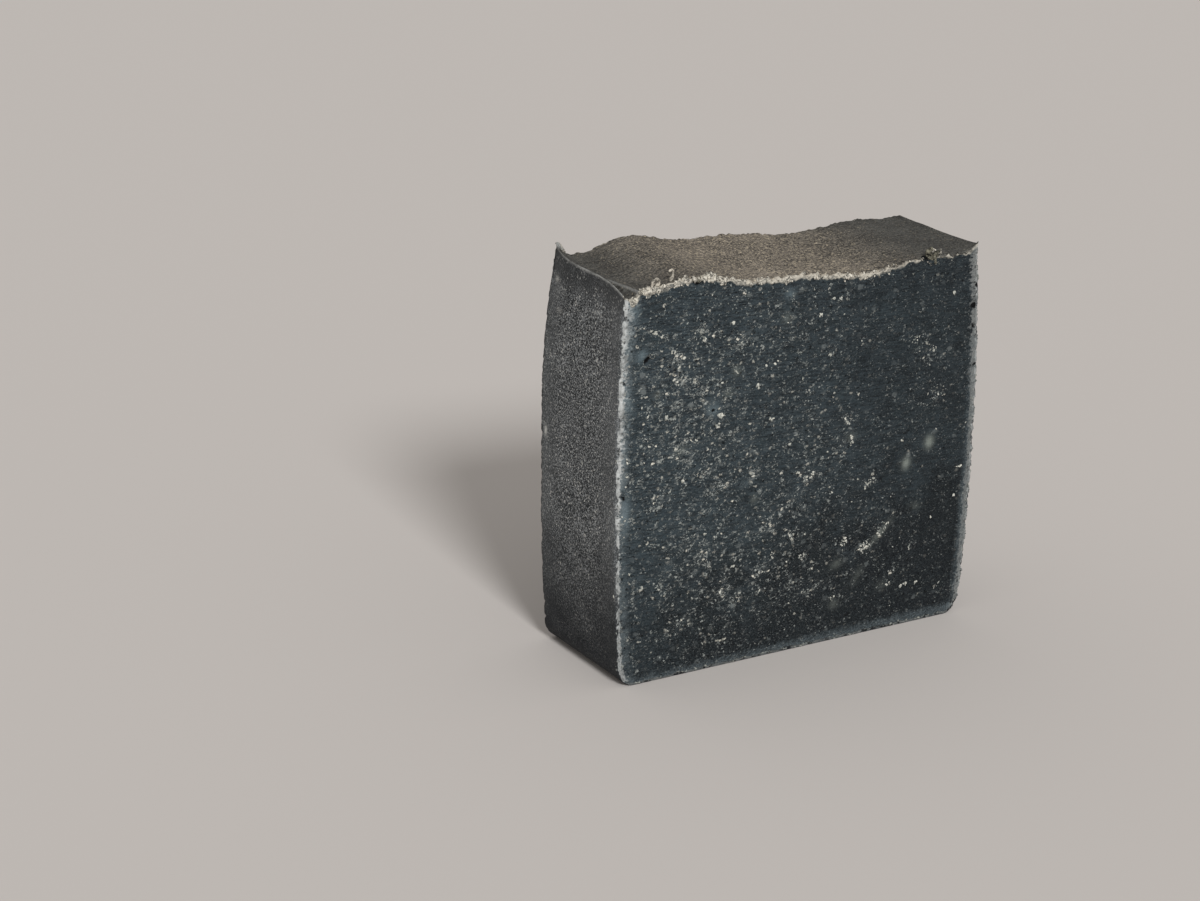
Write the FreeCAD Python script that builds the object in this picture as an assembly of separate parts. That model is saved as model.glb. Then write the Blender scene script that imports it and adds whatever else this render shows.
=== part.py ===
import FreeCAD, Part
import math
import os

# A bar of handmade soap: one slice of a loaf that was poured into a trough mould and cut with a wire.
# It stands on the face that lay on the floor of the mould, with the rough poured top upwards.
# X runs across the loaf, Y along it from the front cut to the back cut, and Z up.
# The origin is at the middle of the bottom. All sizes are in millimetres.

# The slice
width = 75.4            # across the loaf, where its walls are widest
thickness = 25.4        # from cut to cut
height = 68.0           # from the bottom to the poured top, midway across the front cut
edge_wear = 0.5         # bevel round both cuts, where the sharp edge has worn off

# The walls, as the mould shaped them
base_round = 3.5            # radius of the long bottom edges
base_flare = 5.0            # degrees by which the walls lean out at their foot
left_base_inset = 1.4       # the left wall is drawn in by this at its foot
right_base_inset = 0.8      # and the right wall by this
left_swell_height = 46.0    # where the left wall is widest
right_swell_height = 27.0   # where the right wall is widest

# The poured top, a gentle wave across the loaf
strip_width = 4.0           # strip beside each wall, where the soap crept up the mould
left_strip_rise = 0.5
crest_from_left = 16.4
crest_rise = 1.8
crest_flank = 6.8           # from the crest to the foot of its steep side
crest_foot_rise = 0.4
middle_drop = 0.4
hollow_from_right = 24.7
hollow_drop = 1.4
shoulder_from_right = 13.0
left_climb = 1.0            # climb of the top from the front cut to the back cut, along the left wall
middle_climb = 1.6          # the same along the middle
right_climb = 0.4           # and along the right wall

# The rims along both walls, at stations given as shares of the way from the front cut to the back cut
stations = (0.0, 0.16, 0.5, 0.84, 1.0)
left_rim_rise = (-0.5, 0.6, 0.7, 1.1, 1.8)      # the left rim ends in a peak at the back cut
left_rim_lean = (0.6, 0.7, 0.8, 1.2, 2.3)
right_rim_rise = (1.2, 0.8, 0.5, 0.4, 0.3)
right_rim_lean = (2.3, 2.0, 1.4, 0.7, 0.4)

half_width = width / 2
left_foot = left_base_inset - half_width
right_foot = half_width - right_base_inset
flare = math.radians(base_flare)
foot_height = base_round * (1 - math.sin(flare))
corner_reach = base_round * math.cos(flare)
core_length = thickness - 2 * edge_wear
upright = FreeCAD.Vector(0, 0, 1)


def point(x, z):
    return FreeCAD.Vector(x, 0, z)


def poured_height(x, share, rise):
    """Height of the poured top at x, at a share of the way from the front cut to the back cut."""
    across = (x + half_width) / width
    side_climb = left_climb + (right_climb - left_climb) * across
    bulge = (middle_climb - (left_climb + right_climb) / 2) * 4 * across * (1 - across)
    return height + rise + (side_climb + bulge) * share


def left_rim(number):
    x = left_rim_lean[number] - half_width
    return point(x, poured_height(x, stations[number], left_strip_rise + left_rim_rise[number]))


def right_rim(number):
    x = half_width - right_rim_lean[number]
    return point(x, poured_height(x, stations[number], right_rim_rise[number]))


def top_edge(number):
    """The wave of the poured top at one station, from the right rim to the left rim."""
    wave = (
        (half_width - strip_width, 0),
        (half_width - shoulder_from_right, 0),
        (half_width - hollow_from_right, -hollow_drop),
        (0, -middle_drop),
        (crest_from_left + crest_flank - half_width, crest_foot_rise),
        (crest_from_left - half_width, crest_rise),
        (strip_width - half_width, left_strip_rise),
    )
    middle = [point(x, poured_height(x, stations[number], rise)) for x, rise in wave]
    curve = Part.BSplineCurve()
    curve.interpolate(Points=[right_rim(number)] + middle + [left_rim(number)])
    return curve.toShape()


def wall_edge(side, foot, swell_height, rim):
    """One wall from its foot to its rim, flared at the foot and upright at the swell."""
    points = [point(foot, foot_height), point(side * half_width, swell_height), rim]
    tangents = [point(side * math.sin(flare), math.cos(flare)), upright, upright]
    curve = Part.BSplineCurve()
    curve.interpolate(Points=points, Tangents=tangents, TangentFlags=[True, True, False])
    return curve.toShape()


def corner_edge(side, foot):
    """The round bottom edge on one side, from the flat bottom up to the foot of the wall."""
    flat_end = foot - side * corner_reach
    half_turn = (math.pi / 2 - flare) / 2
    across = flat_end + side * base_round * math.sin(half_turn)
    up = base_round * (1 - math.cos(half_turn))
    return Part.Arc(point(flat_end, 0), point(across, up), point(foot, foot_height)).toShape()


def placed_wire(edges, number):
    wire = Part.Wire(Part.sortEdges(edges)[0])
    wire.translate(FreeCAD.Vector(0, (stations[number] - 0.5) * core_length, 0))
    return wire


def lower_edges():
    bottom = Part.makeLine(point(left_foot + corner_reach, 0), point(right_foot - corner_reach, 0))
    return [corner_edge(-1, left_foot), bottom, corner_edge(1, right_foot)]


def upper_edges(number):
    right_wall = wall_edge(1, right_foot, right_swell_height, right_rim(number))
    left_wall = wall_edge(-1, left_foot, left_swell_height, left_rim(number))
    return [right_wall, top_edge(number), left_wall]


def outline(number):
    """The whole closed outline at one station."""
    return placed_wire(lower_edges() + upper_edges(number), number)


def core():
    """The slice between its two bevels: the trough's foot is straight, the walls and top are lofted."""
    last = len(stations) - 1
    foot = placed_wire(lower_edges(), 0).extrude(FreeCAD.Vector(0, core_length, 0))
    skin = Part.makeLoft([placed_wire(upper_edges(number), number) for number in range(len(stations))])
    cuts = [Part.Face(outline(0)), Part.Face(outline(last))]
    sewn = Part.Compound(foot.Faces + skin.Faces + cuts)
    sewn.sewShape()
    return Part.Solid(sewn.Shells[0])


def bevelled_cut(number):
    """The last of the slice at one cut, which narrows to the cut face."""
    full = outline(number)
    narrowing = FreeCAD.Matrix()
    narrowing.scale(1 - edge_wear / half_width, 1, 1 - 2 * edge_wear / height)
    centre = FreeCAD.Vector(0, 0, height / 2)
    face_edge = full.copy()
    face_edge.translate(-centre)
    face_edge = face_edge.transformGeometry(narrowing)
    side = 1 if number else -1
    face_edge.translate(centre + FreeCAD.Vector(0, side * edge_wear, 0))
    return Part.makeLoft([full, face_edge], True, True)


def soap_bar():
    whole = core().fuse([bevelled_cut(0), bevelled_cut(len(stations) - 1)])
    return whole.Solids[0]


os.makedirs("parts", exist_ok=True)
soap_bar().exportStep("parts/soap_bar.step")
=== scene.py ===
import bmesh
import bpy
import math
import numpy as np
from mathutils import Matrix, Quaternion, Vector


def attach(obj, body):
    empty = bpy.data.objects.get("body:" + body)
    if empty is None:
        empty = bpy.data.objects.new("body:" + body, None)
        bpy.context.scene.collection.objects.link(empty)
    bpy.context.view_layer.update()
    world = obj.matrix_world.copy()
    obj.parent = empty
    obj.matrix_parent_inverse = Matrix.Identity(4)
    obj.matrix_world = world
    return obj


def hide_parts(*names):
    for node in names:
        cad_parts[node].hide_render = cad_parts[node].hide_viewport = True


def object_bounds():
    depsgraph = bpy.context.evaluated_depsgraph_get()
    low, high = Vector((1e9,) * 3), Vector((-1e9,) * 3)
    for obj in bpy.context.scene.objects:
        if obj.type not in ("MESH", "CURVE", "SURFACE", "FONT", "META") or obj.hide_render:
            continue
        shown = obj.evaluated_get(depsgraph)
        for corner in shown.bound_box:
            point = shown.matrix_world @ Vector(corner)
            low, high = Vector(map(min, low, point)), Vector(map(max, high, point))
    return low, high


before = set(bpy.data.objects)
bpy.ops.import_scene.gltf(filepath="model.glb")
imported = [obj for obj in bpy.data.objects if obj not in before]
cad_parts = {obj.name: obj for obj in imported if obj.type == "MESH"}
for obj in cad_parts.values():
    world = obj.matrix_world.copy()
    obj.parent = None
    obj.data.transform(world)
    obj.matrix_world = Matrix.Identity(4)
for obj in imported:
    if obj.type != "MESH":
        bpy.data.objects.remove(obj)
cadLow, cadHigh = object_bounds()
millimetre = 0.001

# The soap is a slice of a poured loaf. X runs across the loaf, and Y from the front cut to the back cut.
# The two cuts show the wire-dragged inside, the walls and base lay against the mould, the top set in air.
# Sizes in the dictionaries are in millimetres.


class Output:
    # one output of a node, which sums can be written with

    def __init__(self, tree, socket):
        self.tree = tree
        self.socket = socket

    def sum(self, operation, *values):
        made = self.tree.nodes.new("ShaderNodeMath")
        made.operation = operation
        for place, value in zip(made.inputs, values):
            put(self.tree, place, value)
        return Output(self.tree, made.outputs[0])

    def __add__(self, other):
        return self.sum("ADD", self, other)

    def __radd__(self, other):
        return self.sum("ADD", other, self)

    def __sub__(self, other):
        return self.sum("SUBTRACT", self, other)

    def __rsub__(self, other):
        return self.sum("SUBTRACT", other, self)

    def __mul__(self, other):
        return self.sum("MULTIPLY", self, other)

    def __rmul__(self, other):
        return self.sum("MULTIPLY", other, self)

    def __truediv__(self, other):
        return self.sum("DIVIDE", self, other)

    def __abs__(self):
        return self.sum("ABSOLUTE", self)

    def other(self, name):
        # another output of the same node
        return Output(self.tree, self.socket.node.outputs[name])

    def power(self, other):
        return self.sum("POWER", self, other)

    def atLeast(self, other):
        return self.sum("MAXIMUM", self, other)

    def atMost(self, other):
        return self.sum("MINIMUM", self, other)


def put(tree, place, value):
    if isinstance(value, Output):
        tree.links.new(value.socket, place)
    else:
        place.default_value = value


class Tree:
    # a shader or geometry tree, and the nodes that are used in it often

    def __init__(self, nodeTree):
        self.tree = nodeTree

    def node(self, kind, settings=None, inputs=None, output=0):
        made = self.tree.nodes.new(kind)
        for name, value in (settings or {}).items():
            setattr(made, name, value)
        for name, value in (inputs or {}).items():
            put(self.tree, made.inputs[name], value)
        return Output(self.tree, made.outputs[output]) if made.outputs else None

    def vector(self, operation, *values):
        return self.node("ShaderNodeVectorMath", {"operation": operation}, dict(enumerate(values)))

    def scaled(self, vector, factor):
        return self.node("ShaderNodeVectorMath", {"operation": "SCALE"}, {0: vector, "Scale": factor})

    def stretched(self, place, scale, turn=0.0):
        # the place of a pattern, turned about Y by degrees and then scaled
        inputs = {"Vector": place, "Angle": math.radians(turn)}
        turned = self.node("ShaderNodeVectorRotate", {"rotation_type": "Y_AXIS"}, inputs)
        return self.vector("MULTIPLY", turned, scale)

    def noise(self, place, size, detail=2.0, roughness=0.5, distortion=0.0):
        inputs = {"Vector": place, "Scale": 1 / size, "Detail": detail, "Roughness": roughness,
                  "Distortion": distortion}
        return self.node("ShaderNodeTexNoise", None, inputs)

    def chips(self, place, size, output="Distance"):
        # scattered round chips, by the distance to the nearest one or by a random colour of each
        return self.node("ShaderNodeTexVoronoi", None, {"Vector": place, "Scale": 1 / size}, output)

    def step(self, value, low, high):
        # rises smoothly from 0 at low to 1 at high
        inputs = {"Value": value, "From Min": low, "From Max": high}
        return self.node("ShaderNodeMapRange", {"interpolation_type": "SMOOTHSTEP"}, inputs)

    def mixed(self, share, first, second):
        # two colours: 6 and 7 are the colour sockets of a Mix node
        return self.node("ShaderNodeMix", {"data_type": "RGBA"}, {0: share, 6: first, 7: second}, 2)


def srgb(red, green, blue):
    # a colour as a screen shows it, 0 to 255, turned into the linear colour that nodes take
    linear = [((part / 255 + 0.055) / 1.055) ** 2.4 for part in (red, green, blue)]
    return (*linear, 1)


def newMaterial(name):
    material = bpy.data.materials.new(name)
    material.use_nodes = True
    material.node_tree.nodes.clear()
    return material, Tree(material.node_tree)


def finishMaterial(tree, colour, roughness, height, bump, gloss):
    # the shader itself: what varies over the surface is its colour, its roughness and its bump
    normal = tree.node("ShaderNodeBump", None, {"Height": height, "Distance": bump * millimetre})
    inputs = {"Base Color": colour, "Roughness": roughness, "Normal": normal, "Specular IOR Level": gloss}
    shader = tree.node("ShaderNodeBsdfPrincipled", None, inputs)
    tree.node("ShaderNodeOutputMaterial", None, {"Surface": shader})


def newGeometryTree(name, sizes):
    group = bpy.data.node_groups.new(name, "GeometryNodeTree")
    group.interface.new_socket("Geometry", in_out="INPUT", socket_type="NodeSocketGeometry")
    for label, value in sizes.items():
        kind = "NodeSocketInt" if isinstance(value, int) else "NodeSocketFloat"
        group.interface.new_socket(label, in_out="INPUT", socket_type=kind).default_value = value
    group.interface.new_socket("Geometry", in_out="OUTPUT", socket_type="NodeSocketGeometry")
    entry = group.nodes.new("NodeGroupInput")
    tree = Tree(group)
    return tree, {socket.name: Output(group, socket) for socket in entry.outputs if socket.name}


def closeGeometryTree(tree, geometry, material):
    real = tree.node("GeometryNodeRealizeInstances", None, {"Geometry": geometry})
    dressed = tree.node("GeometryNodeSetMaterial", None, {"Geometry": real, "Material": material})
    tree.node("NodeGroupOutput", None, {"Geometry": dressed})
    return tree.tree


def grown(name, mesh, group, sizes):
    # runs a geometry tree on a mesh and keeps the result as a plain mesh object
    piece = bpy.data.objects.new(name, mesh)
    modifier = piece.modifiers.new(name, "NODES")
    modifier.node_group = group
    for socket in group.interface.items_tree:
        if socket.in_out == "INPUT" and socket.name in sizes:
            modifier[socket.identifier] = sizes[socket.name]
    bpy.context.scene.collection.objects.link(piece)
    bpy.context.view_layer.update()
    result = piece.evaluated_get(bpy.context.evaluated_depsgraph_get())
    finished = bpy.data.meshes.new_from_object(result)
    piece.modifiers.clear()
    piece.data = finished
    return piece


def pointsOf(mesh):
    flat = np.zeros(len(mesh.vertices) * 3, np.float32)
    mesh.vertices.foreach_get("co", flat)
    return flat.reshape(-1, 3).astype(float)


def setPoints(mesh, points):
    mesh.vertices.foreach_set("co", points.astype(np.float32).ravel())
    mesh.update()


def keepInside(mesh):
    # nothing on the soap reaches out of the solid's box
    setPoints(mesh, np.clip(pointsOf(mesh), np.array(cadLow), np.array(cadHigh)))


def smoothed(value, low, high):
    share = np.clip((value - low) / (high - low), 0, 1)
    return share * share * (3 - 2 * share)


# The surface: the solid's own outlines along the loaf, divided finely enough to carry a rough skin

surfaceSizes = {
    "acrossSteps": 180,      # quads from wall to wall
    "upSteps": 160,          # quads from the base to the top
    "alongSteps": 44,        # quads from cut to cut, without the worn edges
    "wornEdge": 0.5,         # depth of the worn edges
    "wornSteps": 3,
    "middleHeight": 34.0,    # a height inside every outline
}
halfThickness = cadHigh.y / millimetre

solidCopy = bmesh.new()
solidCopy.from_mesh(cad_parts["soap_bar"].data)
bmesh.ops.remove_doubles(solidCopy, verts=solidCopy.verts, dist=0.001 * millimetre)
solidEdges = np.array([[tuple(v.co) for v in edge.verts] for edge in solidCopy.edges]) / millimetre
solidCopy.free()


def outlineAt(y):
    # points (x, z) where the solid's edges pass y, anticlockwise round the middle
    first, second = solidEdges[:, 0], solidEdges[:, 1]
    passes = (first[:, 1] < y) != (second[:, 1] < y)
    first, second = first[passes], second[passes]
    share = (y - first[:, 1]) / (second[:, 1] - first[:, 1])
    points = (first + (second - first) * share[:, None])[:, (0, 2)]
    angle = np.arctan2(points[:, 1] - surfaceSizes["middleHeight"], points[:, 0])
    return points[np.argsort(angle)]


def evenly(line, steps):
    # the same line, with its points at equal distances
    lengths = np.append(0, np.cumsum(np.linalg.norm(np.diff(line, axis=0), axis=1)))
    wanted = np.linspace(0, lengths[-1], steps + 1)
    return np.column_stack([np.interp(wanted, lengths, line[:, axis]) for axis in (0, 1)])


def sidesAt(y):
    # base, right wall, top and left wall at y, each from corner to corner, anticlockwise
    outline = outlineAt(y)
    x, z = outline.T
    corners = [np.argmax(-x - z), np.argmax(x - z), np.argmax(x + z), np.argmax(z - x)]
    turned = np.roll(outline, -corners[0], axis=0)
    turned = np.vstack([turned, turned[:1]])
    stops = [(corner - corners[0]) % len(outline) for corner in corners] + [len(outline)]
    steps = [surfaceSizes["acrossSteps"], surfaceSizes["upSteps"]] * 2
    return [evenly(turned[stops[n]:stops[n + 1] + 1], steps[n]) for n in range(4)]


def gapsAt(sides, x, z):
    # how far points lie from the left wall, right wall, top and base
    base, right, top, left = sides
    fromLeft = x - np.interp(z, left[::-1, 1], left[::-1, 0])
    fromRight = np.interp(z, right[:, 1], right[:, 0]) - x
    fromTop = np.interp(x, top[::-1, 0], top[::-1, 1]) - z
    return np.column_stack([fromLeft, fromRight, fromTop, z])


def cutFace(sides):
    # a grid stretched between the four sides: rows from the base up, columns from left to right
    base, right, top, left = sides
    top, left = top[::-1], left[::-1]
    across = np.linspace(0, 1, len(base))[None, :, None]
    up = np.linspace(0, 1, len(left))[:, None, None]
    level = (1 - up) * base[None] + up * top[None]
    upright = (1 - across) * left[:, None] + across * right[:, None]
    corners = (1 - up) * ((1 - across) * base[0] + across * base[-1])
    corners = corners + up * ((1 - across) * top[0] + across * top[-1])
    return level + upright - corners


def soapSkin():
    # a closed mesh of rings along the loaf, with a grid on each cut
    across, up = surfaceSizes["acrossSteps"], surfaceSizes["upSteps"]
    worn = np.linspace(0, surfaceSizes["wornEdge"], surfaceSizes["wornSteps"] + 1)
    inner = halfThickness - surfaceSizes["wornEdge"]
    along = np.linspace(-inner, inner, surfaceSizes["alongSteps"] + 1)
    stations = np.concatenate([worn[:-1] - halfThickness, along, halfThickness - worn[-2::-1]])
    ringCount = 2 * (across + up)
    points, gaps, faces = [], [], []
    justInside = halfThickness - 0.002
    for y in stations:
        sides = sidesAt(np.clip(y, -justInside, justInside))
        ring = np.vstack([side[:-1] for side in sides])
        points.append(np.column_stack([ring[:, 0], np.full(ringCount, y), ring[:, 1]]))
        gaps.append(gapsAt(sides, ring[:, 0], ring[:, 1]))
    number = np.arange(ringCount)
    following = (number + 1) % ringCount
    for k in range(len(stations) - 1):
        near, far = k * ringCount, (k + 1) * ringCount
        faces.append(np.column_stack([near + number, far + number, far + following, near + following]))
    count = ringCount * len(stations)
    for place, y in ((0, -halfThickness), (len(stations) - 1, halfThickness)):
        sides = sidesAt(np.clip(y, -justInside, justInside))
        inside = cutFace(sides)[1:-1, 1:-1].reshape(-1, 2)
        points.append(np.column_stack([inside[:, 0], np.full(len(inside), y), inside[:, 1]]))
        gaps.append(gapsAt(sides, inside[:, 0], inside[:, 1]))
        grid = np.zeros((up + 1, across + 1), int)
        grid[0, :-1] = number[:across]
        grid[:-1, -1] = number[across:across + up]
        grid[-1, :0:-1] = number[across + up:2 * across + up]
        grid[:0:-1, 0] = number[2 * across + up:]
        grid += place * ringCount
        grid[1:-1, 1:-1] = count + np.arange(len(inside)).reshape(up - 1, across - 1)
        quads = [grid[:-1, :-1], grid[:-1, 1:], grid[1:, 1:], grid[1:, :-1]]
        quads = quads if place == 0 else quads[::-1]
        faces.append(np.column_stack([corner.ravel() for corner in quads]))
        count += len(inside)
    return np.vstack(points), np.vstack(gaps), np.vstack(faces)


# Forms on the poured top, given one by one: a fold beside the left rim, and the rims' thin lips

topForms = {
    "foldStart": (-36.6, -3.0),      # x and y where the fold leaves the left rim
    "foldEnd": (-33.7, -12.7),       # and where it meets the front cut
    "foldRise": 0.4,
    "foldWidth": 0.32,
    "shelfDrop": 0.8,                # drop of the narrow shelf between the fold and the rim
    "lipRise": 0.3,
    "lipWidth": 0.5,
    "shoulderPlace": 30.5,           # a low swell of the top near the right rim, at the front
    "shoulderRise": 0.4,
    "shoulderWidth": 3.2,
}


def foldRun():
    run = np.array(topForms["foldEnd"]) - np.array(topForms["foldStart"])
    return (run / np.linalg.norm(run)).tolist()


def foldPlace(points):
    # how far points lie along the fold and outward from it, towards the left wall
    start, run = topForms["foldStart"], foldRun()
    x, y = points[:, 0] - start[0], points[:, 1] - start[1]
    return x * run[0] + y * run[1], x * run[1] - y * run[0]


def shapedTop(points, gaps):
    along, outward = foldPlace(points)
    present = smoothed(along, 0, 4)
    fold = np.exp(-(outward / topForms["foldWidth"]) ** 2) * present
    beyond = smoothed(outward, 0.2, 1.0) * smoothed(gaps[:, 0], 0.2, 0.9) * present
    lip = np.exp(-(gaps[:, 0] / topForms["lipWidth"]) ** 2)
    swell = np.exp(-((points[:, 0] - topForms["shoulderPlace"]) / topForms["shoulderWidth"]) ** 2)
    swell = swell * smoothed(-points[:, 1], -4, 10)
    rise = topForms["foldRise"] * fold - topForms["shelfDrop"] * beyond + topForms["lipRise"] * lip
    rise = rise + topForms["shoulderRise"] * swell
    level = 0 * rise
    return points + np.column_stack([level, level, rise * np.clip(1 - gaps[:, 2] / 5, 0, 1)])


# Marks on the front cut, listed one by one: x, z, length, width, slant in degrees, strength

paleSpots = [
    (27.2, 34.1, 0.9, 1.1, 0, 0.9), (22.3, 30.9, 0.8, 1.0, 0, 0.9), (9.8, 37.7, 1.0, 0.7, 0, 0.25),
    (-25.2, 40.6, 1.2, 0.7, 20, 0.3), (-10.0, 29.6, 0.7, 0.7, 0, 0.3), (8.2, 14.4, 1.2, 0.8, 20, 0.25),
    (25.0, 22.5, 1.1, 0.7, -20, 0.15), (-14.6, 52.8, 0.8, 0.8, 0, 0.35), (-16.3, 49.2, 0.9, 0.6, 0, 0.3),
    (17.6, 18.8, 2.6, 0.6, 42, 0.35), (13.0, 11.6, 1.8, 0.8, 50, 0.15), (18.5, 8.6, 1.2, 1.0, 0, 0.12),
    (8.1, 6.9, 1.0, 0.9, 0, 0.25), (-30.2, 50.9, 0.8, 0.7, 0, 0.25), (-4.9, 60.6, 1.0, 0.9, 0, 0.25),
]
blueSpots = [
    (-19.1, 46.8, 1.3, 1.1, 0, 0.9), (-33.4, 57.9, 1.0, 1.0, 0, 1.0), (-4.5, 64.8, 1.1, 0.8, 0, 0.7),
    (-34.8, 65.2, 0.9, 1.6, 0, 0.7), (-35.9, 31.0, 1.0, 2.6, 0, 1.0), (-35.6, 50.0, 0.8, 2.0, 0, 0.6),
    (-27.0, 20.0, 1.8, 1.2, 0, 0.2), (-12.0, 33.0, 1.4, 1.0, 0, 0.2),
]
darkSpots = [
    (-32.3, 57.1, 0.75, 0.36, 50, 1.0), (-36.0, 46.4, 0.4, 0.7, 20, 0.5), (-36.1, 34.0, 0.5, 0.9, 30, 0.6),
    (-36.3, 23.3, 0.4, 0.4, 0, 0.5), (-22.9, 68.9, 0.9, 0.5, 0, 1.0), (23.6, 67.7, 0.5, 1.0, 35, 1.0),
    (24.9, 67.7, 1.0, 0.5, 0, 1.0), (-19.0, 46.6, 0.4, 0.4, 0, 0.8), (35.2, 58.0, 0.9, 0.5, 0, 1.0),
    (35.5, 54.3, 0.6, 0.4, 0, 0.9), (36.2, 61.6, 0.8, 0.4, 0, 0.8), (36.3, 47.0, 0.6, 0.4, 0, 0.8),
]
laceSpots = [
    (14.2, 16.9, 1.6, 1.4, 40, 1.0), (18.0, 19.6, 2.6, 0.9, 40, 0.8), (14.4, 28.5, 1.8, 1.0, 25, 1.0),
    (9.6, 18.4, 1.2, 0.8, 30, 0.9), (-1.8, 21.6, 1.5, 1.2, -40, 0.9), (1.2, 31.8, 1.7, 0.7, 22, 1.0),
    (9.0, 40.4, 2.2, 0.7, -50, 0.9), (23.2, 53.0, 1.8, 1.5, -30, 0.8), (26.2, 50.6, 1.5, 1.3, 0, 0.8),
    (-25.6, 40.8, 2.2, 1.0, 40, 0.8), (-25.7, 52.8, 1.6, 1.4, 0, 0.8), (-10.6, 34.4, 1.6, 1.2, 0, 0.8),
    (3.0, 11.0, 2.6, 1.5, 20, 0.8), (-14.0, 12.0, 3.0, 1.6, -20, 0.8), (-24.0, 10.0, 2.4, 1.5, 20, 0.7),
    (20.6, 10.6, 2.6, 1.0, 50, 0.8), (28.6, 42.6, 2.8, 1.6, 0, 0.6), (-17.6, 33.0, 2.4, 1.6, 0, 0.8),
    (-7.0, 24.5, 2.2, 1.6, 30, 0.8), (-20.0, 22.0, 2.6, 1.8, 0, 0.7), (-29.0, 32.0, 1.8, 1.8, 0, 0.8),
    (-30.8, 61.4, 1.4, 0.6, -20, 1.0), (-22.1, 60.3, 0.9, 1.0, 0, 1.0), (-26.6, 57.0, 1.8, 0.7, -25, 1.0),
    (-26.0, 55.0, 0.6, 1.0, 0, 1.0), (-22.8, 52.1, 1.0, 1.4, 30, 1.0), (-13.8, 58.0, 0.8, 1.2, 20, 0.8),
    (-8.6, 15.7, 2.2, 0.8, 30, 0.9), (-19.0, 17.6, 1.2, 0.8, 50, 0.9), (24.6, 14.8, 0.8, 1.0, 0, 0.7),
]
crowded = [    # where flecks lie close together
    (-24, 46, 14, 17, 0, 1.0), (-20, 22, 15, 14, 0, 0.65), (0, 34, 14, 16, 0, 0.6), (0, 14, 16, 8, 0, 0.45),
    (16, 20, 9, 8, 0, 0.35), (-12, 58, 20, 8, 0, 0.6), (26, 46, 8, 12, 0, 0.55),
]
wallMarks = [    # on the left wall: y and z, then as above
    (10.6, 39.2, 0.35, 0.8, 10, 1.0), (9.2, 66.0, 0.5, 0.5, 0, 0.6), (7.5, 61.0, 0.8, 0.3, 0, 0.4),
]


def marked(first, second, marks, shown):
    # how strongly each point lies in one of the marks
    amount = np.zeros(len(first))
    for x, z, length, width, slant, strength in marks:
        cosine, sine = math.cos(math.radians(slant)), math.sin(math.radians(slant))
        along = ((first - x) * cosine + (second - z) * sine) / length
        off = ((second - z) * cosine - (first - x) * sine) / width
        amount = np.maximum(amount, strength * np.exp(-along ** 2 - off ** 2))
    return amount * shown


print("Dividing the soap's surface")
skinPoints, skinGaps, skinFaces = soapSkin()
skinPoints = shapedTop(skinPoints, skinGaps)
skinMesh = bpy.data.meshes.new("soap skin")
skinMesh.from_pydata((skinPoints * millimetre).tolist(), [], skinFaces.tolist())
skinX, skinY, skinZ = skinPoints.T
onFront = skinY < 1 - halfThickness
print("Marking the front cut with", len(paleSpots + blueSpots + darkSpots + laceSpots), "spots")
skinFields = dict(zip(("gapLeft", "gapRight", "gapTop", "gapBase"), skinGaps.T))
frontMarks = {"paleSpot": paleSpots, "blueSpot": blueSpots, "darkSpot": darkSpots, "laceSpot": laceSpots}
for fieldName, marks in frontMarks.items():
    skinFields[fieldName] = marked(skinX, skinZ, marks, onFront)
skinFields["crowding"] = marked(skinX, skinZ, crowded, np.abs(skinY) > halfThickness - 1)
skinFields["wallMark"] = marked(skinY, skinZ, wallMarks, skinGaps[:, 0] < 0.1)
for fieldName, values in skinFields.items():
    field = skinMesh.attributes.new(fieldName, "FLOAT", "POINT")
    field.data.foreach_set("value", values.astype(np.float32))


# Colours of the soap

soapColours = {
    "cutDeep": srgb(15, 20, 24),
    "cutBlue": srgb(54, 65, 71),
    "hollowShade": srgb(9, 12, 14),
    "grain": srgb(88, 97, 100),
    "blob": srgb(118, 124, 124),
    "lace": srgb(188, 193, 189),
    "fleck": srgb(222, 219, 207),
    "spot": srgb(146, 153, 146),
    "blueSpot": srgb(116, 132, 139),
    "edgePale": srgb(200, 203, 202),
    "edgeGrey": srgb(140, 142, 140),
    "edgeBlue": srgb(102, 113, 118),
    "edgeTeal": srgb(130, 141, 145),
    "edgeCream": srgb(214, 208, 194),
    "wallDark": srgb(32, 36, 39),
    "wallPale": srgb(176, 180, 182),
    "wallSmooth": srgb(44, 46, 48),
    "wallLight": srgb(218, 218, 213),
    "wallFootShade": srgb(20, 24, 29),
    "rimPale": srgb(176, 177, 175),
    "topDark": srgb(48, 47, 45),
    "topGrey": srgb(99, 99, 95),
    "topPale": srgb(162, 152, 138),
    "topLight": srgb(212, 198, 172),
}


# Patterns of the surface, with sizes in millimetres. A pair says where a mask starts and where it is full.

sharedLook = {
    "ragged": 0.9,                       # sizes of the uneven patterns that edges wander by
    "jagged": 2.6,
    "grit": 0.45,
    "cloud": 7,                          # soft patches on the walls and the top
    "chalky": (0.36, 0.58),
    "thinBrink": (10, 25),               # the brink's band grows thin towards the right
}
cutLook = {
    "drag": (0.8, 1.0, 1.05),            # the wire drew the grain out along X
    "levelTurn": 4,                      # degrees by which it leans where it runs level
    "slantTurn": 42,                     # and where it slants
    "slantPatch": 13,
    "broad": 7,                          # paler and darker patches of the ground
    "footShade": (6, 32),                # heights between which the painted shade at the foot fades and the ground grows paler
    "lightness": 0.64,
    "paintedLightLeft": 0.0105,                  # painted light: how much paler the ground grows with each millimetre to the left
    "crowdPatch": 3.2,                   # patches where flecks crowd together
    "fineGrain": 0.24,
    "levelDrag": (0.22, 1.0, 1.6),       # the finest marks of the wire
    "levelGrain": 0.4,
    "nick": 0.3,
    "thread": 0.6,
    "threadBreak": 0.8,
    "blob": 1.2,                         # one chip of soap lies in each cell of this size
    "blobRareness": 8,
    "spark": 0.3,
    "sparkRareness": 7.5,
    "fleck": 0.62,
    "fleckRareness": 21,
    "pit": 0.7,
}
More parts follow.
